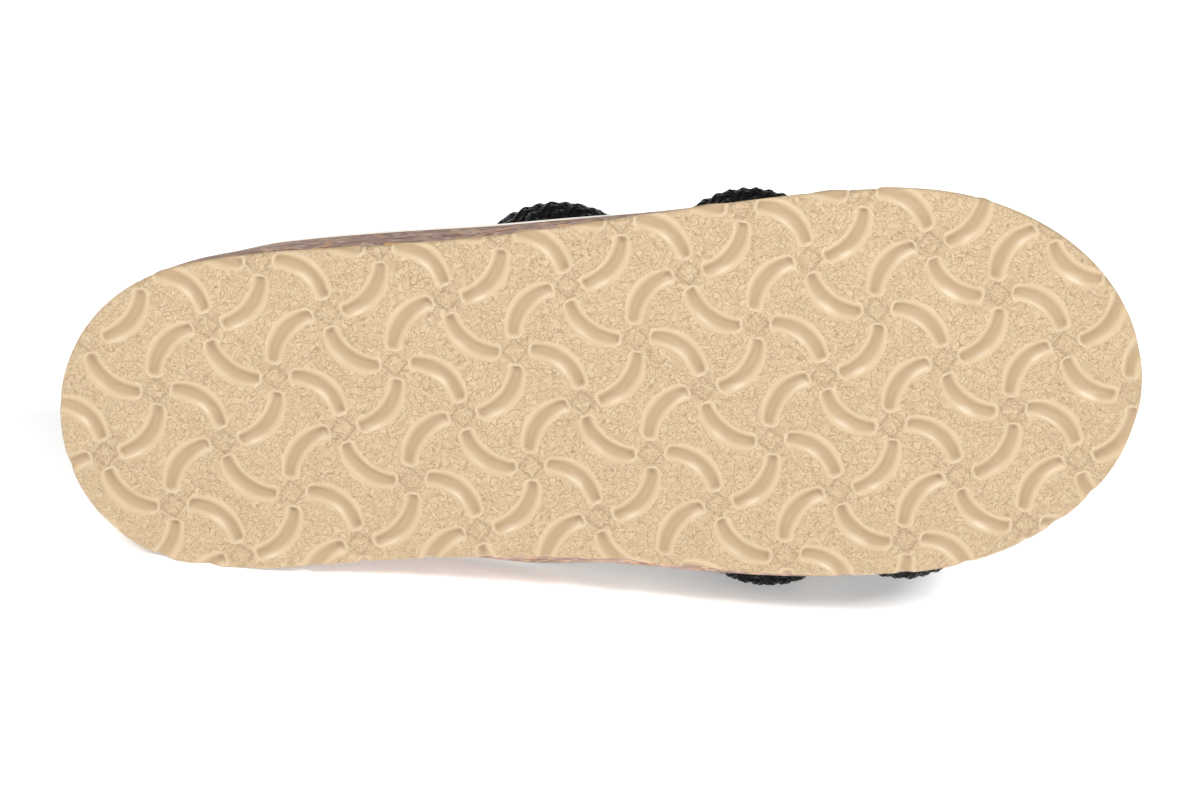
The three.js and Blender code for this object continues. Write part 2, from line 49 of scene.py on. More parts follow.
sole = {
    "length": 253.4,
    "width": 93.6,
    "heelRound": 38.0,
    "toeRound": 58.0,
    "heelTipY": 2.4,
    "toeTipY": -1.65,
    "flatLength": 150.0,
    "toeSpring": 7.3,
    "outsoleThickness": 4.4,
    "outsoleTaper": 1.3,
    "rimHeight": 27.0,
    "outerTuck": 7.0,
    "archOverhang": 7.0,
    "wallBulge": 0.6,
    "linerThickness": 1.8,
    "clearance": 0.3,
}

# Distance of each edge from the centre line, as a share of the sole's width
outlineColumns = ("at", "outer", "inner")
outlineRows = (
    (0.0, 0.375, 0.443),
    (0.1, 0.369, 0.428),
    (0.15, 0.376, 0.427),
    (0.2, 0.393, 0.43),
    (0.3, 0.405, 0.413),
    (0.4, 0.425, 0.408),
    (0.5, 0.458, 0.417),
    (0.6, 0.494, 0.447),
    (0.7, 0.522, 0.47),
    (0.78, 0.529, 0.468),
    (0.9, 0.529, 0.464),
    (1.0, 0.529, 0.464),
)

# Rim heights and the bed's middle as shares of the heel's rim height, and how far each rim leans in or out
wallColumns = ("at", "outerRim", "innerRim", "bed", "tuck", "reach")
wallRows = (
    (0.0, 1.0, 1.0, 0.72, 0.5, -0.7),
    (0.06, 1.0, 1.0, 0.7, 0.8, -1.0),
    (0.12, 1.0, 0.98, 0.69, 0.82, -1.1),
    (0.2, 0.98, 0.94, 0.69, 0.62, -0.8),
    (0.3, 0.93, 0.86, 0.68, 0.43, 0.15),
    (0.42, 0.84, 0.77, 0.63, 0.46, 1.0),
    (0.5, 0.74, 0.7, 0.56, 0.52, 0.86),
    (0.6, 0.6, 0.59, 0.46, 0.68, 0.7),
    (0.7, 0.54, 0.53, 0.4, 0.64, 0.5),
    (0.8, 0.54, 0.53, 0.4, 0.6, 0.35),
    (0.9, 0.58, 0.57, 0.42, 0.5, 0.1),
    (1.0, 0.63, 0.63, 0.46, 0.3, -0.2),
)

# The bed across the sole: share of the way out from the middle, and share of the rise to the rim
bedRows = (
    (1.0, 0.9),
    (0.992, 0.985),
    (0.98, 1.0),
    (0.95, 1.0),
    (0.92, 0.91),
    (0.89, 0.78),
    (0.85, 0.6),
    (0.8, 0.42),
    (0.72, 0.24),
    (0.64, 0.13),
    (0.55, 0.06),
    (0.4, 0.02),
    (0.2, 0.0),
    (0.0, 0.0),
)

# Strap paths along the foot side of the band, from the outer slot over the instep to the inner slot
rearPath = (
    (-0.765, -0.15), (-0.765, -0.02), (-0.805, 0.08), (-0.835, 0.17), (-0.785, 0.35), (-0.68, 0.54),
    (-0.49, 0.76), (-0.2, 0.95), (0.1, 1.0), (0.4, 0.95), (0.68, 0.85), (0.88, 0.73), (1.01, 0.6),
    (1.082, 0.47), (1.092, 0.38), (1.105, 0.298), (1.125, 0.215), (1.145, 0.135), (1.105, 0.085),
    (1.03, 0.04), (0.965, -0.01), (0.94, -0.07), (0.93, -0.15),
)
frontPath = (
    (-0.785, -0.2), (-0.785, 0.0), (-0.805, 0.1), (-0.835, 0.22), (-0.79, 0.42), (-0.7, 0.65),
    (-0.5, 0.86), (-0.21, 0.98), (0.09, 1.0), (0.39, 0.95), (0.66, 0.84), (0.86, 0.7), (1.0, 0.55),
    (1.075, 0.4), (1.1, 0.26), (1.075, 0.15), (0.995, 0.07), (0.935, -0.01), (0.925, -0.08), (0.925, -0.2),
)
straps = {
    "rear": {"outerAt": 0.451, "innerAt": 0.64, "height": 75.0, "path": rearPath, "buckleAt": 0.45},
    "front": {"outerAt": 0.634, "innerAt": 0.785, "height": 53.5, "path": frontPath, "buckleAt": 0.45},
}
band = {
    "width": 28.0,
    "wall": 4.2,
    "slotWall": 3.2,
    "edgeWall": 0.44,
    "arch": 2.5,
    "inset": 1.0,
    "raise": 1.3,
    "instepSlope": 0.3,
    "slotDepth": 8.0,
    "slotRise": 0.07,
}


def layTurn():
    floorward = Vector((-math.tan(math.radians(lay["slope"])), 1.0, math.tan(math.radians(lay["lean"]))))
    up = -floorward.normalized()
    toe = (Vector((1.0, 0.0, 0.0)) - up * up.x).normalized()
    return np.array((toe, up.cross(toe), up))


turn = layTurn()


def laid(points):
    return (points @ turn.T + np.array(lay["move"])) / 1000.0


def mix(a, b, share):
    return a + (b - a) * share


def smoothStep(value, low, high):
    t = np.clip((value - low) / (high - low), 0.0, 1.0)
    return t * t * (3.0 - 2.0 * t)


def readTable(rows, columns, column, at):
    table = np.array(rows)
    places = table[:, 0]
    values = table[:, columns.index(column)]
    last = len(places) - 1
    here = np.clip(at, places[0], places[last])
    i = np.clip(np.searchsorted(places, here, side="left") - 1, 0, last - 1)
    order = np.arange(last + 1)
    before = np.maximum(order - 1, 0)
    after = np.minimum(order + 1, last)
    slope = (values[after] - values[before]) / (places[after] - places[before])
    span = places[i + 1] - places[i]
    t = (here - places[i]) / span
    rise = values[i + 1] - values[i]
    start = slope[i] * span - rise
    end = rise - slope[i + 1] * span
    return values[i] + rise * t + t * (1.0 - t) * (start * (1.0 - t) + end * t)


def edgeY(x, side):
    x = np.asarray(x, float)
    column = "outer" if side < 0 else "inner"
    full = side * readTable(outlineRows, outlineColumns, column, x / sole["length"]) * sole["width"]
    fromHeel = np.clip(1.0 - x / sole["heelRound"], 0.0, 1.0)
    fromToe = np.clip(1.0 - (sole["length"] - x) / sole["toeRound"], 0.0, 1.0)
    heelY = sole["heelTipY"] + (full - sole["heelTipY"]) * np.sqrt(1.0 - fromHeel**2)
    toeY = sole["toeTipY"] + (full - sole["toeTipY"]) * np.sqrt(1.0 - fromToe**2)
    return np.where(fromHeel > 0.0, heelY, np.where(fromToe > 0.0, toeY, full))


# The sole bends up from the end of its flat stretch to the toe
def bend(x, y, z):
    past = np.maximum(x - sole["flatLength"], 0.0)
    curl = 2.0 * sole["toeSpring"] / (sole["length"] - sole["flatLength"]) ** 2
    turned = curl * past
    along = x - curl**2 * past**3 / 6.0
    y = np.broadcast_to(y, np.shape(along))
    return np.stack((along - z * np.sin(turned), y, curl * past**2 / 2.0 + z * np.cos(turned)), axis=-1)


# Points round the edge at even spacing: heel tip, outer side, toe tip, inner side
def soleEdge(count):
    fine = 1500
    x = sole["length"] * (1.0 - np.cos(np.pi * np.arange(fine + 1) / fine)) / 2.0
    loop = np.concatenate((np.stack((x, edgeY(x, -1)), 1), np.stack((x, edgeY(x, 1)), 1)[-2:0:-1]))
    closed = np.concatenate((loop, loop[:1]))
    length = np.concatenate(((0.0,), np.cumsum(np.linalg.norm(np.diff(closed, axis=0), axis=1))))
    here = length[-1] * np.arange(count) / count
    px = np.interp(here, length, closed[:, 0])
    py = np.interp(here, length, closed[:, 1])
    run = np.stack((np.roll(px, -1) - np.roll(px, 1), np.roll(py, -1) - np.roll(py, 1)), 1)
    run /= np.linalg.norm(run, axis=1)[:, None]
    normal = np.stack((run[:, 1], -run[:, 0]), 1)
    spineX = np.clip(px, sole["heelRound"], sole["length"] - sole["toeRound"])
    return {
        "x": px,
        "y": py,
        "normal": normal,
        "innerShare": (1.0 + normal[:, 1]) / 2.0,
        "at": px / sole["length"],
        "spineX": spineX,
        "spineY": (edgeY(spineX, -1) + edgeY(spineX, 1)) / 2.0,
        "along": here,
    }


def wallAt(column, at):
    return readTable(wallRows, wallColumns, column, at)


def rimAt(at, innerShare):
    return sole["rimHeight"] * mix(wallAt("outerRim", at), wallAt("innerRim", at), innerShare)


def rimReach(edge):
    outer = -sole["outerTuck"] * wallAt("tuck", edge["at"])
    inner = sole["archOverhang"] * wallAt("reach", edge["at"])
    return mix(outer, inner, edge["innerShare"])


def outsoleReach(edge):
    inner = rimReach(edge) * sole["outsoleThickness"] / sole["rimHeight"]
    return mix(-sole["outsoleTaper"], np.maximum(inner, -sole["outsoleTaper"]), edge["innerShare"])


# One ring round the sole: how far out of its edge, how high, and the share of the way out from the middle
def ring(edge, reach, height, out=1.0):
    x = mix(edge["spineX"], edge["x"] + edge["normal"][:, 0] * reach, out)
    y = mix(edge["spineY"], edge["y"] + edge["normal"][:, 1] * reach, out)
    height = np.broadcast_to(height, x.shape)
    return bend(x, y, height), np.stack((edge["along"], height, np.full(x.shape, out)), 1)


def skinFaces(rows, count):
    faces = []
    for r in range(rows - 1):
        a = r * count
        b = a + count
        for i in range(count):
            j = (i + 1) % count
            faces.append((a + i, a + j, b + j, b + i))
    return faces


# Mesh of standing points, laid on its side, with its doubles merged and its faces outward
def makePiece(name, points, faces, material, attributes):
    mesh = bpy.data.meshes.new(name)
    mesh.from_pydata(laid(np.asarray(points, float)).tolist(), [], faces)
    for key, values in attributes.items():
        values = np.asarray(values, np.float32)
        kind = "FLOAT" if values.ndim == 1 else "FLOAT_VECTOR"
        layer = mesh.attributes.new(key, kind, "POINT")
        layer.data.foreach_set("value" if values.ndim == 1 else "vector", values.ravel())
    work = bmesh.new()
    work.from_mesh(mesh)
    bmesh.ops.remove_doubles(work, verts=work.verts, dist=2e-6)
    bmesh.ops.dissolve_degenerate(work, edges=work.edges, dist=1e-7)
    bmesh.ops.recalc_face_normals(work, faces=work.faces)
    for face in work.faces:
        face.smooth = True
    work.to_mesh(mesh)
    work.free()
    mesh.materials.append(material)
    piece = bpy.data.objects.new(name, mesh)
    bpy.context.scene.collection.objects.link(piece)
    return piece


def linear(code):
    parts = [int(code[i : i + 2], 16) / 255.0 for i in (1, 3, 5)]
    return tuple(c / 12.92 if c <= 0.04045 else ((c + 0.055) / 1.055) ** 2.4 for c in parts) + (1.0,)


# Adds a node to a tree; values and links go to its inputs by name or number
def addNode(tree, kind, inputs=None, **settings):
    node = tree.nodes.new(kind)
    for key, value in settings.items():
        setattr(node, key, value)
    for key, value in (inputs or {}).items():
        if isinstance(value, bpy.types.NodeSocket):
            tree.links.new(value, node.inputs[key])
        else:
            node.inputs[key].default_value = value
    return node


def newMaterial(name):
    material = bpy.data.materials.new(name)
    material.use_nodes = True
    tree = material.node_tree
    tree.nodes.clear()
    return material, tree


def finishMaterial(tree, inputs):
    shader = addNode(tree, "ShaderNodeBsdfPrincipled", inputs)
    addNode(tree, "ShaderNodeOutputMaterial", {"Surface": shader.outputs[0]})
    return shader


def mapRange(tree, value, low, high, first=0.0, last=1.0):
    inputs = {"Value": value, "From Min": low, "From Max": high, "To Min": first, "To Max": last}
    return addNode(tree, "ShaderNodeMapRange", inputs, interpolation_type="SMOOTHSTEP").outputs[0]


def sums(tree, operation, a, b):
    return addNode(tree, "ShaderNodeMath", {0: a, 1: b}, operation=operation).outputs[0]


def blendColour(tree, share, first, second):
    node = addNode(tree, "ShaderNodeMix", {"Factor": share}, data_type="RGBA")
    for socket, value in ((node.inputs[6], first), (node.inputs[7], second)):
        if isinstance(value, bpy.types.NodeSocket):
            tree.links.new(value, socket)
        else:
            socket.default_value = value
    return node.outputs[2]


# The grid turned across the sole: troughs leave each even node, all bowed the same way round.
# Each is deepest along a circle, with a narrow wall on its hollow side and a wide one on its bulged side
tread = {
    "pitch": 20.0,
    "turn": 39.3,
    "nodeX": 122.74,
    "nodeY": 0.5,
    "radius": 13.6,
    "offset": 5.05,
    "halfArc": 8.25,
    "hollow": 2.25,
    "bulge": 3.0,
    "bulgeTaper": 0.027,
    "corner": 1.45,
    "depth": 1.3,
    "endRun": 1.0,
    "edgeRound": 0.7,
    "step": 0.52,
    "square": 2.05,
}


# Tread: foamed rubber moulded against a grained steel plate, its troughs polished
treadLook = {
    "ground": "#b19a7a",
    "light": "#b9a484",
    # painted shade: the darker colour laid into the ground's wrinkles, pits and node grooves
    "crease": "#816039",
    "troughRim": "#b8a281",
    # painted shade: the troughs' colour darkens towards their deep floor
    "troughFloor": "#a28a6a",
    # painted highlight: a lighter line along the raised lip at the troughs' tips
    "lip": "#cdbba0",
    "worm": 1.9,
    "cell": 1.7,
    "pit": 0.45,
    "warp": 1.43,
    "drift": 1.1,
    "cloud": 2.0,
    "groundRough": 0.7,
    "rimRough": 0.4,
    "floorRough": 0.6,
}


def offLevel(tree, value, level):
    gap = sums(tree, "SUBTRACT", value, level)
    return addNode(tree, "ShaderNodeMath", {0: gap}, operation="ABSOLUTE").outputs[0]


def noiseAt(tree, vector, size, detail):
    return addNode(tree, "ShaderNodeTexNoise", {"Vector": vector, "Scale": 1.0 / size, "Detail": detail}).outputs


def treadMaterial():
    material, tree = newMaterial("mouldedFoamRubber")
    look = treadLook
    place = addNode(tree, "ShaderNodeAttribute", attribute_name="place").outputs["Vector"]
    edge = addNode(tree, "ShaderNodeAttribute", attribute_name="troughEdge").outputs["Fac"]
    tip = addNode(tree, "ShaderNodeAttribute", attribute_name="troughTip").outputs["Fac"]
    square = addNode(tree, "ShaderNodeAttribute", attribute_name="nodeLine").outputs["Fac"]
    inside = mapRange(tree, edge, 0.1, -0.15)
    outside = sums(tree, "SUBTRACT", 1.0, inside)
    height = addNode(tree, "ShaderNodeSeparateXYZ", {0: place}).outputs[2]
    deep = mapRange(tree, height, 0.15, tread["depth"] * 0.9)
    lip = mapRange(tree, offLevel(tree, edge, 0.1), 0.3, 0.06)
    lip = sums(tree, "MULTIPLY", lip, sums(tree, "MAXIMUM", tip, 0.15))
    warp = noiseAt(tree, place, look["warp"], 2.0)["Color"]
    centred = addNode(tree, "ShaderNodeVectorMath", {0: warp, 1: (0.5, 0.5, 0.5)}, operation="SUBTRACT")
    drift = addNode(tree, "ShaderNodeVectorMath", {0: centred.outputs[0], "Scale": look["drift"]},
                    operation="SCALE").outputs[0]
    moved = addNode(tree, "ShaderNodeVectorMath", {0: place, 1: drift}, operation="ADD").outputs[0]
    worms = mapRange(tree, offLevel(tree, noiseAt(tree, moved, look["worm"], 1.0)[0], 0.5), 0.028, 0.0)
    cells = addNode(tree, "ShaderNodeTexVoronoi", {"Vector": moved, "Scale": 1.0 / look["cell"]},
                    feature="DISTANCE_TO_EDGE").outputs[0]
    pitNoise = noiseAt(tree, moved, look["pit"], 2.0)[0]
    pits = mapRange(tree, pitNoise, 0.4, 0.33)
    clouds = noiseAt(tree, place, look["cloud"], 3.0)[0]
    fading = mapRange(tree, clouds, 0.4, 0.56)
    cellLines = mapRange(tree, cells, 0.048, 0.0, 0.0, 0.85)
    cellLines = sums(tree, "MULTIPLY", cellLines, mapRange(tree, pitNoise, 0.66, 0.4))
    groove = sums(tree, "MULTIPLY", mapRange(tree, offLevel(tree, square, 0.0), 0.6, 0.0), outside)
    groove = sums(tree, "MULTIPLY", groove, mapRange(tree, pitNoise, 0.62, 0.42))
    wrinkles = sums(tree, "MAXIMUM", sums(tree, "MULTIPLY", worms, fading), cellLines)
    wrinkles = sums(tree, "MAXIMUM", wrinkles, sums(tree, "MULTIPLY", pits, 0.6))
    quiet = sums(tree, "SUBTRACT", 1.0, sums(tree, "MAXIMUM", inside, lip))
    wrinkles = sums(tree, "MULTIPLY", wrinkles, quiet)
    # painted shade: the wrinkles, cell lines, pits and node grooves, all sunk by the bump below, are darkened
    # towards the crease shade colour
    dark = sums(tree, "MAXIMUM", sums(tree, "MULTIPLY", wrinkles, 0.62), sums(tree, "MULTIPLY", groove, 0.42))
    cloudy = mapRange(tree, clouds, 0.35, 0.65)
    colour = blendColour(tree, cloudy, linear(look["ground"]), linear(look["light"]))
    colour = blendColour(tree, dark, colour, linear(look["crease"]))
    # the trough colour runs from its paler rim to painted shade at its deepest
    trough = blendColour(tree, deep, linear(look["troughRim"]), linear(look["troughFloor"]))
    colour = blendColour(tree, inside, colour, trough)
    # painted highlight: the raised lip near each trough's tip is lightened towards the lip colour, on top of its
    # small real bead
    colour = blendColour(tree, sums(tree, "MULTIPLY", lip, 0.3), colour, linear(look["lip"]))
    level = sums(tree, "MULTIPLY", pitNoise, sums(tree, "MULTIPLY", quiet, 0.6))
    level = sums(tree, "SUBTRACT", level, wrinkles)
    level = sums(tree, "SUBTRACT", level, sums(tree, "MULTIPLY", groove, 0.9))
    bump = addNode(tree, "ShaderNodeBump", {"Strength": 0.8, "Distance": 0.0002, "Height": level}).outputs[0]
    troughRough = mapRange(tree, deep, 0.0, 0.8, look["rimRough"], look["floorRough"])
    finishMaterial(tree, {
        "Base Color": colour,
        "Roughness": mapRange(tree, inside, 0.0, 1.0, look["groundRough"], troughRough),
        "Coat Weight": sums(tree, "MULTIPLY", inside, 0.16),
        "Coat Roughness": 0.2,
        "Normal": bump,
    })
    return material


# Cork: ground bark pressed with latex, cut and sealed at its side, with painted shade darkening it along both
# edges
corkLook = {"body": "#a3887c", "pale": "#c0a696", "dark": "#70564a", "speck": "#d6a260", "grain": 1.1}


def corkMaterial():
    material, tree = newMaterial("pressedCork")
    look = corkLook
    wall = addNode(tree, "ShaderNodeAttribute", attribute_name="wall").outputs["Vector"]
    streakAt = addNode(tree, "ShaderNodeMapping", {"Vector": wall, "Scale": (0.09, 0.9, 0.3)}).outputs[0]
    streaks = addNode(tree, "ShaderNodeTexNoise", {"Vector": streakAt, "Scale": 1.0, "Detail": 5.0,
                                                   "Roughness": 0.65}).outputs[0]
    grainAt = addNode(tree, "ShaderNodeMapping", {"Vector": wall, "Scale": (0.6, 1.0, 1.0)}).outputs[0]
    grains = addNode(tree, "ShaderNodeTexVoronoi", {"Vector": grainAt, "Scale": 1.0 / look["grain"]})
    tint = addNode(tree, "ShaderNodeSeparateColor", {0: grains.outputs["Color"]}).outputs[0]
    colour = blendColour(tree, mapRange(tree, streaks, 0.37, 0.64), linear(look["dark"]), linear(look["body"]))
    colour = blendColour(tree, mapRange(tree, tint, 0.45, 1.0, 0.0, 0.8), colour, linear(look["pale"]))
    colour = blendColour(tree, mapRange(tree, tint, 0.1, 0.05, 0.0, 0.85), colour, linear(look["speck"]))
    # painted shade along the wall's bottom and top edges, where it meets the outsole and the liner
    edgeShade = addNode(tree, "ShaderNodeAttribute", attribute_name="wallShade").outputs["Fac"]
    colour = blendColour(tree, edgeShade, colour, linear(look["dark"]))
    level = sums(tree, "ADD", streaks, sums(tree, "MULTIPLY", grains.outputs["Distance"], -0.5))
    bump = addNode(tree, "ShaderNodeBump", {"Strength": 0.7, "Distance": 0.0003, "Height": level}).outputs[0]
    finishMaterial(tree, {"Base Color": colour, "Roughness": 0.62, "Specular IOR Level": 0.35,
                          "Normal": bump})
    return material


# Liner: split suede, brushed one way, with a paler cut edge
suedeLook = {"nap": "#c9b79c", "shade": "#b19c80", "cutEdge": "#ece4d8", "napLength": 0.35}


def suedeMaterial():
    material, tree = newMaterial("splitSuede")
    look = suedeLook
    place = addNode(tree, "ShaderNodeAttribute", attribute_name="place").outputs["Vector"]
    cut = addNode(tree, "ShaderNodeAttribute", attribute_name="cutEdge").outputs["Fac"]
    nap = addNode(tree, "ShaderNodeTexNoise", {"Vector": place, "Scale": 1.0 / look["napLength"],
                                               "Detail": 3.0}).outputs[0]
    clouds = addNode(tree, "ShaderNodeTexNoise", {"Vector": place, "Scale": 0.07, "Detail": 3.0}).outputs[0]
    colour = blendColour(tree, mapRange(tree, clouds, 0.35, 0.65), linear(look["nap"]), linear(look["shade"]))
    colour = blendColour(tree, mapRange(tree, nap, 0.35, 0.65, 0.0, 0.25), colour, linear(look["shade"]))
    colour = blendColour(tree, cut, colour, linear(look["cutEdge"]))
    bump = addNode(tree, "ShaderNodeBump", {"Strength": 0.5, "Distance": 0.0002, "Height": nap}).outputs[0]
    finishMaterial(tree, {"Base Color": colour, "Roughness": 0.92, "Sheen Weight": 0.35,
                          "Sheen Roughness": 0.5, "Normal": bump})
    return material


# Cord: twisted waxed yarn, dyed black, with a dull shine along the yarns
cordLook = {"dye": "#030303", "worn": "#090909", "fibre": 0.22}


def cordMaterial():
    material, tree = newMaterial("waxedCord")
    look = cordLook
    place = addNode(tree, "ShaderNodeTexCoord").outputs["Object"]
    fibres = addNode(tree, "ShaderNodeTexNoise", {"Vector": place, "Scale": 1000.0 / look["fibre"],
                                                  "Detail": 2.0}).outputs[0]
    colour = blendColour(tree, mapRange(tree, fibres, 0.35, 0.65), linear(look["dye"]), linear(look["worn"]))
    bump = addNode(tree, "ShaderNodeBump", {"Strength": 0.35, "Distance": 0.0001,
                                            "Height": fibres}).outputs[0]
    finishMaterial(tree, {"Base Color": colour, "Roughness": 0.28, "Specular IOR Level": 0.14, "Normal": bump})
    return material


# Buckle wire: steel plated dark nickel and tumbled, its shine soft
plateLook = {"plate": "#77736d", "grit": 0.6}


def plateMaterial():
    material, tree = newMaterial("tumbledDarkNickel")
    place = addNode(tree, "ShaderNodeTexCoord").outputs["Object"]
    grit = addNode(tree, "ShaderNodeTexNoise", {"Vector": place, "Scale": 1000.0 / plateLook["grit"],
                                                "Detail": 3.0}).outputs[0]
    bump = addNode(tree, "ShaderNodeBump", {"Strength": 0.12, "Distance": 0.0001, "Height": grit}).outputs[0]
    finishMaterial(tree, {"Base Color": linear(plateLook["plate"]), "Metallic": 1.0,
                          "Roughness": mapRange(tree, grit, 0.3, 0.7, 0.22, 0.36), "Normal": bump})
    return material


# Start and direction of each trough that can reach the sole
def troughPlaces():
    angle = math.radians(tread["turn"])
    along = np.array((math.cos(angle), math.sin(angle)))
    across = np.array((math.sin(angle), -math.cos(angle)))
    reach = math.ceil(sole["length"] / tread["pitch"])
    places = []
    for i in range(-reach, reach + 1):
        for j in range(-reach, reach + 1):
            if (i + j) % 2:
                continue
            node = np.array((tread["nodeX"], tread["nodeY"])) + tread["pitch"] * (i * along + j * across)
            for a, b in ((1, 0), (0, 1), (-1, 0), (0, -1)):
                direction = a * along + b * across
                middle = node + direction * tread["pitch"] / 2
                if -10 < middle[0] < sole["length"] + 10 and abs(middle[1]) < sole["width"] / 2 + 12:
                    places.append((middle, direction))
    return places


# Depth of the troughs below the tread, the distance to the nearest trough's edge, negative inside it,
# and how near the point is to a trough's tip
def troughField(x, y):
    depth = np.zeros(x.shape)
    edge = np.full(x.shape, 9.0)
    tip = np.zeros(x.shape)
    radius = tread["radius"]
    corner = tread["corner"]
    for middle, direction in troughPlaces():
        near = np.flatnonzero((x - middle[0]) ** 2 + (y - middle[1]) ** 2 < 16.0**2)
        if not len(near):
            continue
        side = np.array((-direction[1], direction[0]))
        centre = middle + side * (tread["offset"] - radius)
        dx = x[near] - centre[0]
        dy = y[near] - centre[1]
        out = dx * side[0] + dy * side[1]
        run = dx * direction[0] + dy * direction[1]
        w = np.hypot(out, run) - radius
        a = np.arctan2(run, out) * radius
        bulge = tread["bulge"] - tread["bulgeTaper"] * np.minimum(a**2, tread["halfArc"] ** 2)
        half = (bulge + tread["hollow"]) / 2
        qa = np.abs(a) - (tread["halfArc"] - corner)
        qw = np.abs(w - (bulge - tread["hollow"]) / 2) - (half - corner)
        distance = np.hypot(np.maximum(qa, 0), np.maximum(qw, 0)) + np.minimum(np.maximum(qa, qw), 0) - corner
        wall = np.where(w > 0, 1.0 - w / bulge, 1.0 + w / tread["hollow"])
        ends = (tread["halfArc"] - np.abs(a)) / tread["endRun"]
        inward = np.clip(np.minimum(wall, ends), 0.0, 1.0) * smoothStep(-distance, -0.05, 0.6)
        depth[near] = np.maximum(depth[near], tread["depth"] * smoothStep(inward, 0.0, 1.0))
        edge[near] = np.minimum(edge[near], distance)
        atTip = smoothStep(np.abs(a), tread["halfArc"] - 2.6, tread["halfArc"] - 0.6)
        tip[near] = np.maximum(tip[near], atTip * (distance < 1.0))
    return depth, edge, tip


# Distance to the small square drawn round each node of the grid
def nodeLines(x, y):
    angle = math.radians(tread["turn"])
    dx = (x - tread["nodeX"]) / tread["pitch"]
    dy = (y - tread["nodeY"]) / tread["pitch"]
    i = dx * math.cos(angle) + dy * math.sin(angle)
    j = dx * math.sin(angle) - dy * math.cos(angle)
    i = (i - np.round(i)) * tread["pitch"]
    j = (j - np.round(j)) * tread["pitch"]
    return np.maximum(np.abs(i), np.abs(j)) - tread["square"]


def makeTread(material):
    edge = soleEdge(1200)
    loop = np.stack((edge["x"], edge["y"]), 1)
    insets = np.array((0.0, 0.06, 0.2, 0.42, 0.72))
    rings = [loop - edge["normal"] * inset for inset in insets]
    step = tread["step"]
    xs = np.arange(0.0, sole["length"], step)
    ys = np.arange(-sole["width"] * 0.55, sole["width"] * 0.5, step * 0.94)
    gx, gy = np.meshgrid(xs, ys, indexing="ij")
    gy = gy + (np.arange(len(xs)) % 2)[:, None] * step * 0.47
    gx = gx.ravel()
    gy = gy.ravel()
    slack = 0.55
    keep = (gy > edgeY(gx, -1) + insets[-1] + slack) & (gy < edgeY(gx, 1) - insets[-1] - slack)
    keep &= (gx > insets[-1] + slack) & (gx < sole["length"] - insets[-1] - slack)
    for end in (gx < sole["heelRound"], gx > sole["length"] - sole["toeRound"]):
        chosen = np.flatnonzero(keep & end)
        atEnds = (loop[:, 0] < sole["heelRound"] + 3) | (loop[:, 0] > sole["length"] - sole["toeRound"] - 3)
        near = loop[atEnds]
        for part in np.array_split(chosen, max(len(chosen) // 4000, 1)):
            gap = np.hypot(gx[part][:, None] - near[:, 0], gy[part][:, None] - near[:, 1]).min(axis=1)
            keep[part[gap < insets[-1] + slack * 0.75]] = False
    points = np.concatenate(rings + [np.stack((gx[keep], gy[keep]), 1)])
    count = len(loop)
    borders = [(i, (i + 1) % count) for i in range(count)]
    result = delaunay_2d_cdt([Vector(p) for p in points.tolist()], borders, [], 1, 1e-5, True)
    flat = np.array([(v.x, v.y) for v in result[0]])
    source = np.array([ids[0] if ids else -1 for ids in result[3]])
    placeOf = np.full(len(points), -1)
    placeOf[source[source >= 0]] = np.flatnonzero(source >= 0)
    border = placeOf[:count]
    x, y = flat[:, 0], flat[:, 1]
    depth, troughEdge, tip = troughField(x, y)
    inset = np.full(len(flat), 9.0)
    inset[placeOf[: len(insets) * count]] = np.repeat(insets, count)
    rounded = tread["edgeRound"]
    fillet = rounded - np.sqrt(np.maximum(rounded**2 - np.maximum(rounded - inset, 0) ** 2, 0))
    lipRise = (0.03 + 0.06 * tip) * np.exp(-((troughEdge - 0.1) ** 2) / 0.05)
    z = depth + fillet - lipRise * (inset > 1)
    bottom = bend(x, y, z)
    bottomPlace = np.stack((x, y, z), 1)
    borderZ = z[border]
    wallPoints = [bottom[border]]
    wallPlaces = [bottomPlace[border]]
    top = sole["outsoleThickness"]
    for share in (0.3, 0.65, 0.92):
        height = mix(borderZ, top, share)
        points, place = ring(edge, outsoleReach(edge) * share, height)
        wallPoints.append(points)
        wallPlaces.append(np.stack((edge["x"], edge["y"], height), 1))
    for out, height in ((0.997, top), (0.6, top), (0.0, top)):
        points, place = ring(edge, outsoleReach(edge), height, out)
        wallPoints.append(points)
        wallPlaces.append(np.stack((edge["x"], edge["y"], np.full(count, height)), 1))
    start = len(bottom)
    triangles = np.array(result[2])
    midX = flat[triangles, 0].mean(axis=1)
    midY = flat[triangles, 1].mean(axis=1)
    slip = 0.004
    within = (midY > edgeY(midX, -1) - slip) & (midY < edgeY(midX, 1) + slip)
    faces = [tuple(f) for f in triangles[within].tolist()]
    rows = len(wallPoints)
    for r in range(rows - 1):
        for i in range(count):
            j = (i + 1) % count
            a = border[i] if r == 0 else start + (r - 1) * count + i
            b = border[j] if r == 0 else start + (r - 1) * count + j
            faces.append((a, b, start + r * count + j, start + r * count + i))
    allPoints = np.concatenate([bottom] + wallPoints[1:])
    allPlaces = np.concatenate([bottomPlace] + wallPlaces[1:])
    extra = len(allPoints) - start
    troughEdge = np.concatenate((troughEdge, np.full(extra, 0.0)))
    lines = np.concatenate((nodeLines(x, y), np.full(extra, 9.0)))
    tip = np.concatenate((tip, np.zeros(extra)))
    piece = makePiece("treadSole", allPoints, faces, material,
                      {"place": allPlaces, "troughEdge": troughEdge, "troughTip": tip, "nodeLine": lines})
    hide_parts("outsole")
    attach(piece, "root")
    return piece


def bedHeight(edge, out, rise):
    at = mix(edge["spineX"] / sole["length"], edge["at"], out)
    return mix(sole["rimHeight"] * wallAt("bed", at), rimAt(at, edge["innerShare"]), rise)


def stack(rings):
    points = np.concatenate([r[0] for r in rings])
    walls = np.concatenate([r[1] for r in rings])
    return points, walls


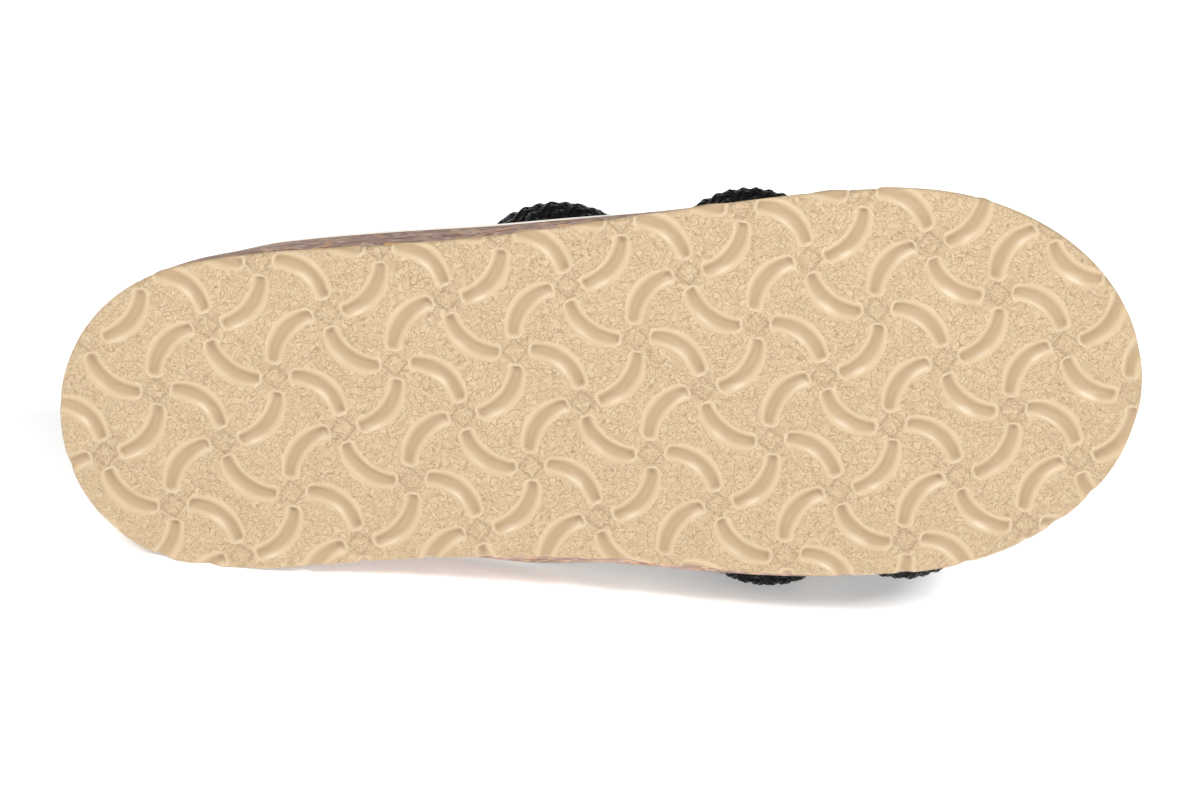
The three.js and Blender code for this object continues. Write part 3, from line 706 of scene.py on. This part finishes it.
def makeCork(material):
    edge = soleEdge(560)
    bottom = sole["outsoleThickness"] + sole["clearance"] * 0.2
    under = sole["linerThickness"] + sole["clearance"] * 0.2
    top = rimAt(edge["at"], edge["innerShare"]) - under
    rings = [ring(edge, outsoleReach(edge), bottom, 0.0), ring(edge, outsoleReach(edge), bottom, 0.7)]
    shares = np.concatenate(((0.0, 0.012), np.linspace(0.05, 0.95, 13), (0.985,)))
    for share in shares:
        bulge = sole["wallBulge"] * math.sin(math.pi * share) - 0.35 * (share in (shares[0], shares[-1]))
        reach = mix(outsoleReach(edge), rimReach(edge), share) + bulge
        rings.append(ring(edge, reach, mix(bottom, top, share)))
    rimOut = rimReach(edge) - 0.5
    for out, rise in bedRows[2:]:
        rings.append(ring(edge, rimOut, bedHeight(edge, out, rise) - under, out))
    points, walls = stack(rings)
    levels = [0.0, 0.0, *shares] + [0.5] * (len(bedRows) - 2)
    share = np.repeat(levels, 560)
    # painted shade: darkest at the wall's bottom and top edges
    shade = np.maximum(smoothStep(share, 0.05, 0.0), smoothStep(share, 0.93, 1.0)) * 0.6
    piece = makePiece("corkBody", points, skinFaces(len(rings), 560), material,
                      {"wall": walls, "wallShade": shade})
    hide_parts("midsole")
    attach(piece, "root")
    return piece


def makeLiner(material):
    edge = soleEdge(560)
    face = [ring(edge, rimReach(edge), bedHeight(edge, out, rise), out) for out, rise in bedRows]
    thickness = sole["linerThickness"]
    back = [ring(edge, rimReach(edge), bedHeight(edge, out, min(rise, 1.0)) - thickness, out)
            for out, rise in bedRows[2:]]
    middle = [ring(edge, rimReach(edge), bedHeight(edge, 1.0, 0.9) - thickness * 0.35, 1.0),
              ring(edge, rimReach(edge), bedHeight(edge, 1.0, 0.95) - thickness * 0.8, 0.999)]
    rings = back[::-1] + middle[::-1] + face
    points, walls = stack(rings)
    out = walls[:, 2]
    cut = smoothStep(out, 0.985, 0.997)
    piece = makePiece("suedeLiner", points, skinFaces(len(rings), 560), material,
                      {"place": points, "cutEdge": cut})
    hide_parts("insole")
    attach(piece, "root")
    return piece


# Curve through a strap's path, at even spacing along it
def pathCurve(path):
    knots = np.array(path)
    padded = np.concatenate((2 * knots[:1] - knots[1:2], knots, 2 * knots[-1:] - knots[-2:-1]))
    fine = []
    for k in range(1, len(padded) - 2):
        p = padded[k - 1 : k + 3]
        t = np.concatenate(((0.0,), np.cumsum(np.linalg.norm(np.diff(p, axis=0), axis=1) ** 0.5)))
        s = np.linspace(t[1], t[2], 41)[:, None]
        a1 = (t[1] - s) / (t[1] - t[0]) * p[0] + (s - t[0]) / (t[1] - t[0]) * p[1]
        a2 = (t[2] - s) / (t[2] - t[1]) * p[1] + (s - t[1]) / (t[2] - t[1]) * p[2]
        a3 = (t[3] - s) / (t[3] - t[2]) * p[2] + (s - t[2]) / (t[3] - t[2]) * p[3]
        b1 = (t[2] - s) / (t[2] - t[0]) * a1 + (s - t[0]) / (t[2] - t[0]) * a2
        b2 = (t[3] - s) / (t[3] - t[1]) * a2 + (s - t[1]) / (t[3] - t[1]) * a3
        fine.append(((t[2] - s) / (t[2] - t[1]) * b1 + (s - t[1]) / (t[2] - t[1]) * b2)[:-1])
    fine.append(knots[-1:])
    fine = np.concatenate(fine)
    length = np.concatenate(((0.0,), np.cumsum(np.linalg.norm(np.diff(fine, axis=0), axis=1))))
    return fine, length / length[-1]


# Point on the foot side of a strap: u along its path, v across it from -0.5 to 0.5
def strapFoot(strap, u, v):
    fine, at = strap["curve"]
    u = np.clip(u, 0.0, 1.0)
    out = np.interp(u, at, fine[:, 0])
    up = np.interp(u, at, fine[:, 1])
    first = strap["path"][0]
    last = strap["path"][-1]
    plan = np.clip((out - first[0]) / (last[0] - first[0]), 0.0, 1.0)
    x = mix(strap["outerAt"], strap["innerAt"], plan) * sole["length"] + v * band["width"]
    halfMiddle = (strap["outerAt"] + strap["innerAt"]) * sole["length"] / 2.0
    y = np.abs(out) * np.where(out < 0, edgeY(x, -1), edgeY(x, 1))
    rim = rimAt(x / sole["length"], np.clip((1.0 + out) / 2.0, 0.0, 1.0))
    top = strap["height"] - band["instepSlope"] * (x - halfMiddle)
    rise = np.where(up < 0, up / -first[1] * band["slotDepth"], up * (top - rim))
    return bend(x, y, rim + rise)


def onStrap(strap, u, v, height):
    step = 0.004
    foot = strapFoot(strap, u, v)
    along = strapFoot(strap, np.minimum(u + step, 1.0), v) - strapFoot(strap, np.maximum(u - step, 0.0), v)
    across = strapFoot(strap, u, v + step) - strapFoot(strap, u, v - step)
    normal = np.cross(across, along)
    normal /= np.linalg.norm(normal, axis=-1)[..., None]
    return foot + normal * np.asarray(height)[..., None], normal


def strapLength(strap):
    points = strapFoot(strap, np.linspace(0, 1, 241), np.zeros(241))
    return np.linalg.norm(np.diff(points, axis=0), axis=1).sum()


for strap in straps.values():
    strap["curve"] = pathCurve(strap["path"])
    strap["length"] = strapLength(strap)


# Nodes that sweep a ribbed oval along routes, each route turned by its points' facing attribute
def sweepTree():
    tree = bpy.data.node_groups.new("sweepCord", "GeometryNodeTree")
    tree.interface.new_socket("Geometry", in_out="OUTPUT", socket_type="NodeSocketGeometry")
    tree.interface.new_socket("Geometry", in_out="INPUT", socket_type="NodeSocketGeometry")
    for label in ("Half width", "Half thickness", "Yarn relief"):
        tree.interface.new_socket(label, in_out="INPUT", socket_type="NodeSocketFloat")
    for label in ("Yarns", "Sides"):
        tree.interface.new_socket(label, in_out="INPUT", socket_type="NodeSocketInt")
    tree.interface.new_socket("Material", in_out="INPUT", socket_type="NodeSocketMaterial")
    given = addNode(tree, "NodeGroupInput").outputs
    facing = addNode(tree, "GeometryNodeInputNamedAttribute", {"Name": "facing"}, data_type="FLOAT_VECTOR")
    route = addNode(tree, "GeometryNodeMeshToCurve", {0: given["Geometry"]})
    faced = addNode(tree, "GeometryNodeSetCurveNormal",
                    {"Curve": route.outputs[0], "Normal": facing.outputs[0]}, mode="FREE")
    circle = addNode(tree, "GeometryNodeCurvePrimitiveCircle", {"Resolution": given["Sides"], "Radius": 1.0})
    place = addNode(tree, "GeometryNodeInputPosition").outputs[0]
    parts = addNode(tree, "ShaderNodeSeparateXYZ", {0: place}).outputs
    angle = sums(tree, "ARCTAN2", parts[1], parts[0])
    turns = sums(tree, "MULTIPLY", angle, given["Yarns"])
    ribs = addNode(tree, "ShaderNodeMath", {0: turns}, operation="COSINE")
    swell = sums(tree, "ADD", 1.0, sums(tree, "MULTIPLY", ribs.outputs[0], given["Yarn relief"]))
    wide = sums(tree, "MULTIPLY", sums(tree, "MULTIPLY", parts[1], given["Half width"]), swell)
    thick = sums(tree, "MULTIPLY", sums(tree, "MULTIPLY", parts[0], given["Half thickness"]), swell)
    joined = addNode(tree, "ShaderNodeCombineXYZ", {0: thick, 1: wide, 2: 0.0})
    oval = addNode(tree, "GeometryNodeSetPosition",
                   {"Geometry": circle.outputs[0], "Position": joined.outputs[0]})
    swept = addNode(tree, "GeometryNodeCurveToMesh",
                    {"Curve": faced.outputs[0], "Profile Curve": oval.outputs[0], "Fill Caps": True})
    smooth = addNode(tree, "GeometryNodeSetShadeSmooth", {"Geometry": swept.outputs[0], "Shade Smooth": True})
    real = addNode(tree, "GeometryNodeRealizeInstances", {0: smooth.outputs[0]})
    dressed = addNode(tree, "GeometryNodeSetMaterial",
                      {"Geometry": real.outputs[0], "Material": given["Material"]})
    addNode(tree, "NodeGroupOutput", {0: dressed.outputs[0]})
    return tree


# Runs a node tree on routes and gives back a plain mesh object
def grow(name, tree, routes, facings, inputs, closed=False):
    verts = []
    normals = []
    edges = []
    for route, facing in zip(routes, facings):
        start = len(verts)
        verts += laid(route).tolist()
        normals += (facing @ turn.T).tolist()
        edges += [(start + i, start + i + 1) for i in range(len(route) - 1)]
        if closed:
            edges.append((start + len(route) - 1, start))
    mesh = bpy.data.meshes.new(name + "Route")
    mesh.from_pydata(verts, edges, [])
    layer = mesh.attributes.new("facing", "FLOAT_VECTOR", "POINT")
    layer.data.foreach_set("vector", np.array(normals, np.float32).ravel())
    carrier = bpy.data.objects.new(name + "Route", mesh)
    bpy.context.scene.collection.objects.link(carrier)
    modifier = carrier.modifiers.new("sweep", "NODES")
    modifier.node_group = tree
    for item in tree.interface.items_tree:
        if item.item_type == "SOCKET" and item.in_out == "INPUT" and item.name in inputs:
            modifier[item.identifier] = inputs[item.name]
    graph = bpy.context.evaluated_depsgraph_get()
    grown = bpy.data.meshes.new_from_object(carrier.evaluated_get(graph))
    bpy.data.objects.remove(carrier)
    bpy.data.meshes.remove(mesh)
    grown.name = name
    piece = bpy.data.objects.new(name, grown)
    bpy.context.scene.collection.objects.link(piece)
    return piece


# A flat braid: cords run aslant from edge to edge of the band, each over and under its neighbours in turn
braid = {
    "columns": 8,
    "cell": 3.1,
    "halfWidth": 2.0,
    "halfThickness": 1.4,
    "middle": 2.6,
    "swing": 1.15,
    "yarns": 9,
    "relief": 0.105,
    "sides": 45,
    "step": 0.72,
}


# The band's section, as a height off its foot side: its edges bow towards the foot
def bandBack(v):
    return -band["inset"] - band["arch"] * (2.0 * v) ** 2


def crown(v):
    return 1.0 - (1.0 - band["edgeWall"]) * (2.0 * v) ** 2


# The bow and the thickness fade where the band enters its slots
def slotFade(strap, u):
    fine, at = strap["curve"]
    return smoothStep(np.interp(u, at, fine[:, 1]), 0.0, band["slotRise"])


def braidRoutes(strap):
    columns = braid["columns"]
    cell = braid["cell"]
    span = columns * cell
    total = strap["length"]
    s = np.arange(0.0, total, braid["step"])
    shown = slotFade(strap, s / total)
    thinner = mix(band["slotWall"] / (band["wall"] + band["raise"]), 1.0, shown)
    routes = []
    facings = []
    for k in range(columns):
        phase = (s / span + 2.0 * k / columns) % 2.0
        column = np.where(phase < 1.0, phase, 2.0 - phase) * columns
        goingRight = np.where(phase < 1.0, 1.0, -1.0)
        lift = goingRight * np.cos(math.pi * column)
        kernel = np.hanning(5)[1:-1]
        kernel /= kernel.sum()
        lift = np.convolve(np.pad(lift, 1, "edge"), kernel, "valid")
        column = np.convolve(np.pad(column, 1, "edge"), kernel, "valid")
        v = (column * cell - span / 2.0) / band["width"]
        height = bandBack(v) * shown + (braid["middle"] + braid["swing"] * lift) * crown(v) * thinner
        route, normal = onStrap(strap, s / total, v, height)
        step = 0.01
        bow = bandBack(v + step) - bandBack(v - step)
        rise = (bow + braid["middle"] * (crown(v + step) - crown(v - step))) * shown
        across = strapFoot(strap, s / total, v + step) - strapFoot(strap, s / total, v - step)
        reach = np.linalg.norm(across, axis=1)
        facing = normal - across * (rise / reach**2)[:, None]
        routes.append(route)
        facings.append(facing / np.linalg.norm(facing, axis=1)[:, None])
    return routes, facings


def makeBraid(name, strap, node, tree, material):
    routes, facings = braidRoutes(strap)
    inputs = {
        "Half width": braid["halfWidth"] / 1000.0,
        "Half thickness": braid["halfThickness"] / 1000.0,
        "Yarn relief": braid["relief"],
        "Yarns": braid["yarns"],
        "Sides": braid["sides"],
        "Material": material,
    }
    piece = grow(name, tree, routes, facings, inputs)
    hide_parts(node)
    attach(piece, "root")
    return piece


# A plain wire buckle: round-cornered frame over the band, bar under it, and a prong across both
buckle = {"length": 23.0, "wire": 2.6, "prong": 2.2, "corner": 5.0, "bow": 3.0, "clearance": 0.3}


def buckleAxes(strap):
    step = 0.01
    at = strap["buckleAt"]
    zero = np.zeros(1)
    along = onStrap(strap, zero + at + step, zero, zero)[0] - onStrap(strap, zero + at - step, zero, zero)[0]
    across = onStrap(strap, zero + at, zero + step, zero)[0] - onStrap(strap, zero + at, zero - step, zero)[0]
    along = along[0] / np.linalg.norm(along)
    across = across[0] / np.linalg.norm(across)
    return along, np.cross(across, along), math.asin(float(along @ across))


# Place on a strap in millimetres from its buckle's middle: along its path, square to it, off its foot side
def atBuckle(strap, skew, along, across, height):
    u = strap["buckleAt"] + (along - across * math.tan(skew)) / strap["length"]
    return onStrap(strap, u, across / math.cos(skew) / band["width"], height)[0]


def buckleRoutes(strap):
    along, facing, skew = buckleAxes(strap)
    wire = buckle["wire"]
    corner = buckle["corner"]
    halfLong = buckle["length"] / 2
    halfWide = band["width"] * math.cos(skew) / 2 + buckle["clearance"] + wire
    bandTop = band["wall"] + band["raise"] - band["inset"] + buckle["clearance"]

    def overBand(across):
        return bandTop + wire / 2 - buckle["bow"] * (across / halfWide) ** 2

    def under(across):
        return bandBack(across / math.cos(skew) / band["width"]) - 2 * buckle["clearance"] - wire / 2

    ringSteps = []
    ends = ((-halfLong + corner, halfWide), (-halfLong, -halfWide + corner), (halfLong - corner, -halfWide),
            (halfLong, halfWide - corner))
    for quarter, (a, b) in enumerate(((1, 1), (-1, 1), (-1, -1), (1, -1))):
        angle = (quarter + np.linspace(0, 1, 9)) * math.pi / 2
        long = a * (halfLong - corner) + corner * np.cos(angle)
        wide = b * (halfWide - corner) + corner * np.sin(angle)
        ringSteps.append(np.stack((long, wide), 1))
        share = np.linspace(0, 1, 9)[1:-1, None]
        ringSteps.append(mix(ringSteps[-1][-1], np.array(ends[quarter]), share))
    flat = np.concatenate(ringSteps)
    ringPoints = atBuckle(strap, skew, flat[:, 0], flat[:, 1], overBand(flat[:, 1]))
    inward = halfWide - corner / 3
    right = ((0.0, under(0.0)), (halfWide / 2, under(halfWide / 2)), (inward, under(inward)),
             (halfWide, under(inward) / 2), (halfWide, overBand(halfWide)))
    knots = np.array([(-a, h) for a, h in right[:0:-1]] + list(right))
    share = np.linspace(0, len(knots) - 1, 65)
    kernel = np.hanning(9)[1:-1]
    kernel /= kernel.sum()
    order = np.arange(len(knots))
    lines = [np.pad(np.interp(share, order, knots[:, k]), 3, "edge") for k in (0, 1)]
    across, height = (np.convolve(line, kernel, "valid") for line in lines)
    barPoints = atBuckle(strap, skew, np.zeros(len(share)), across, height)
    reach = halfLong + wire / 2
    prongHeight = bandTop + wire + buckle["clearance"] + buckle["prong"] / 2
    alongProng = np.linspace(-reach, reach, 25)
    prongPoints = atBuckle(strap, skew, alongProng, np.zeros(25), np.full(25, prongHeight))
    return along, facing, ringPoints, barPoints, prongPoints


def wireInputs(size, material):
    return {"Half width": size / 2000.0, "Half thickness": size / 2000.0, "Yarn relief": 0.0, "Yarns": 1,
            "Sides": 24, "Material": material}


def makeBuckle(label, strap, tree, material):
    along, facing, ringPoints, barPoints, prongPoints = buckleRoutes(strap)
    title = label.capitalize()
    ringPiece = grow("frameRing" + title, tree, [ringPoints], [np.tile(facing, (len(ringPoints), 1))],
                     wireInputs(buckle["wire"], material), closed=True)
    barPiece = grow("frameBar" + title, tree, [barPoints], [np.tile(along, (len(barPoints), 1))],
                    wireInputs(buckle["wire"], material))
    whole = bmesh.new()
    whole.from_mesh(ringPiece.data)
    whole.from_mesh(barPiece.data)
    whole.to_mesh(ringPiece.data)
    whole.free()
    bpy.data.objects.remove(barPiece)
    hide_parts("buckle_frame_" + label)
    prong = grow("frameProng" + title, tree, [prongPoints], [np.tile(facing, (len(prongPoints), 1))],
                 wireInputs(buckle["prong"], material))
    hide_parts("buckle_prong_" + label)
    for piece in (ringPiece, prong):
        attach(piece, "root")


# Camera: the photograph's view of the tread, as turns about the sole's own axes
view = {
    "pitch": 16.5,
    "yaw": 3.1,
    "roll": -1.7,
    "distance": 8000.0,
    "pixel": 0.2331,
    "middleX": 126.73,
    "imageWidth": 1200.0,
    "sensor": 36.0,
}


def makeCamera():
    pitch, yaw, roll = (math.radians(view[key]) for key in ("pitch", "yaw", "roll"))
    turnX = Matrix.Rotation(pitch, 3, "X")
    turnY = Matrix.Rotation(yaw, 3, "Y")
    turnZ = Matrix.Rotation(roll, 3, "Z")
    seen = np.array(turnX @ turnY @ turnZ)
    place = -seen[2] * view["distance"] * view["pixel"] + np.array((view["middleX"], 0, 0))
    right, down, ahead = (turn @ seen[k] for k in range(3))
    data = bpy.data.cameras.new("photoCamera")
    data.sensor_width = view["sensor"]
    data.lens = view["distance"] / view["imageWidth"] * view["sensor"]
    data.clip_end = 50.0
    camera = bpy.data.objects.new("photoCamera", data)
    place = laid(place[None])[0]
    matrix = Matrix.Identity(4)
    for k in range(3):
        matrix[k][0] = right[k]
        matrix[k][1] = -down[k]
        matrix[k][2] = -ahead[k]
        matrix[k][3] = place[k]
    camera.matrix_world = matrix
    bpy.context.scene.collection.objects.link(camera)
    bpy.context.scene.camera = camera
    print("camera", [round(float(v), 3) for v in place], "looks", [round(float(v), 3) for v in ahead])
    return camera


studio = {
    "floor": "#fafafa",
    "world": 0.3,
    "aim": (0.0, -0.02, 0.05),
    "lights": {
        "leftBox": {"place": (-1.5, -1.3, 1.9), "wide": 0.7, "deep": 0.7, "power": 47.0},
        "rightBox": {"place": (1.5, -1.3, 1.9), "wide": 0.7, "deep": 0.7, "power": 47.0},
        "floorBox": {"place": (0.0, -3.0, 0.8), "wide": 3.0, "deep": 0.3, "power": 160.0},
    },
    "floorOnly": "floorBox",
}


def areaLight(name, place, wide, deep, power):
    data = bpy.data.lights.new(name, "AREA")
    data.energy = power
    data.shape = "RECTANGLE"
    data.size = wide
    data.size_y = deep
    light = bpy.data.objects.new(name, data)
    light.location = place
    aim = Vector(studio["aim"]) - Vector(place)
    light.rotation_euler = aim.to_track_quat("-Z", "Y").to_euler()
    bpy.context.scene.collection.objects.link(light)
    return light


def makeStudio():
    material, tree = newMaterial("whitePaperSweep")
    finishMaterial(tree, {"Base Color": linear(studio["floor"]), "Roughness": 0.9, "Specular IOR Level": 0.2})
    mesh = bpy.data.meshes.new("floor")
    reach = 6.0
    mesh.from_pydata([(-reach, -reach, 0), (reach, -reach, 0), (reach, reach, 0), (-reach, reach, 0)], [],
                     [(0, 1, 2, 3)])
    mesh.materials.append(material)
    floor = bpy.data.objects.new("floor", mesh)
    bpy.context.scene.collection.objects.link(floor)
    world = bpy.data.worlds.new("studioWorld")
    bpy.context.scene.world = world
    world.use_nodes = True
    background = world.node_tree.nodes["Background"]
    background.inputs[0].default_value = (1.0, 1.0, 1.0, 1.0)
    background.inputs[1].default_value = studio["world"]
    for name, lamp in studio["lights"].items():
        light = areaLight(name, lamp["place"], lamp["wide"], lamp["deep"], lamp["power"])
        if name == studio["floorOnly"]:
            lit = bpy.data.collections.new("floorLit")
            lit.objects.link(floor)
            light.light_linking.receiver_collection = lit
    bpy.context.scene.view_settings.view_transform = "Standard"
    bpy.context.scene.view_settings.look = "None"


makeCamera()
makeStudio()
print("camera and studio made")
makeTread(treadMaterial())
print("tread made")
makeCork(corkMaterial())
makeLiner(suedeMaterial())
print("cork body and liner made")
sweep = sweepTree()
cord = cordMaterial()
makeBraid("braidRear", straps["rear"], "strap_rear", sweep, cord)
makeBraid("braidFront", straps["front"], "strap_front", sweep, cord)
print("braided straps made")
plate = plateMaterial()
for label, strap in straps.items():
    makeBuckle(label, strap, sweep, plate)
print("buckles made")
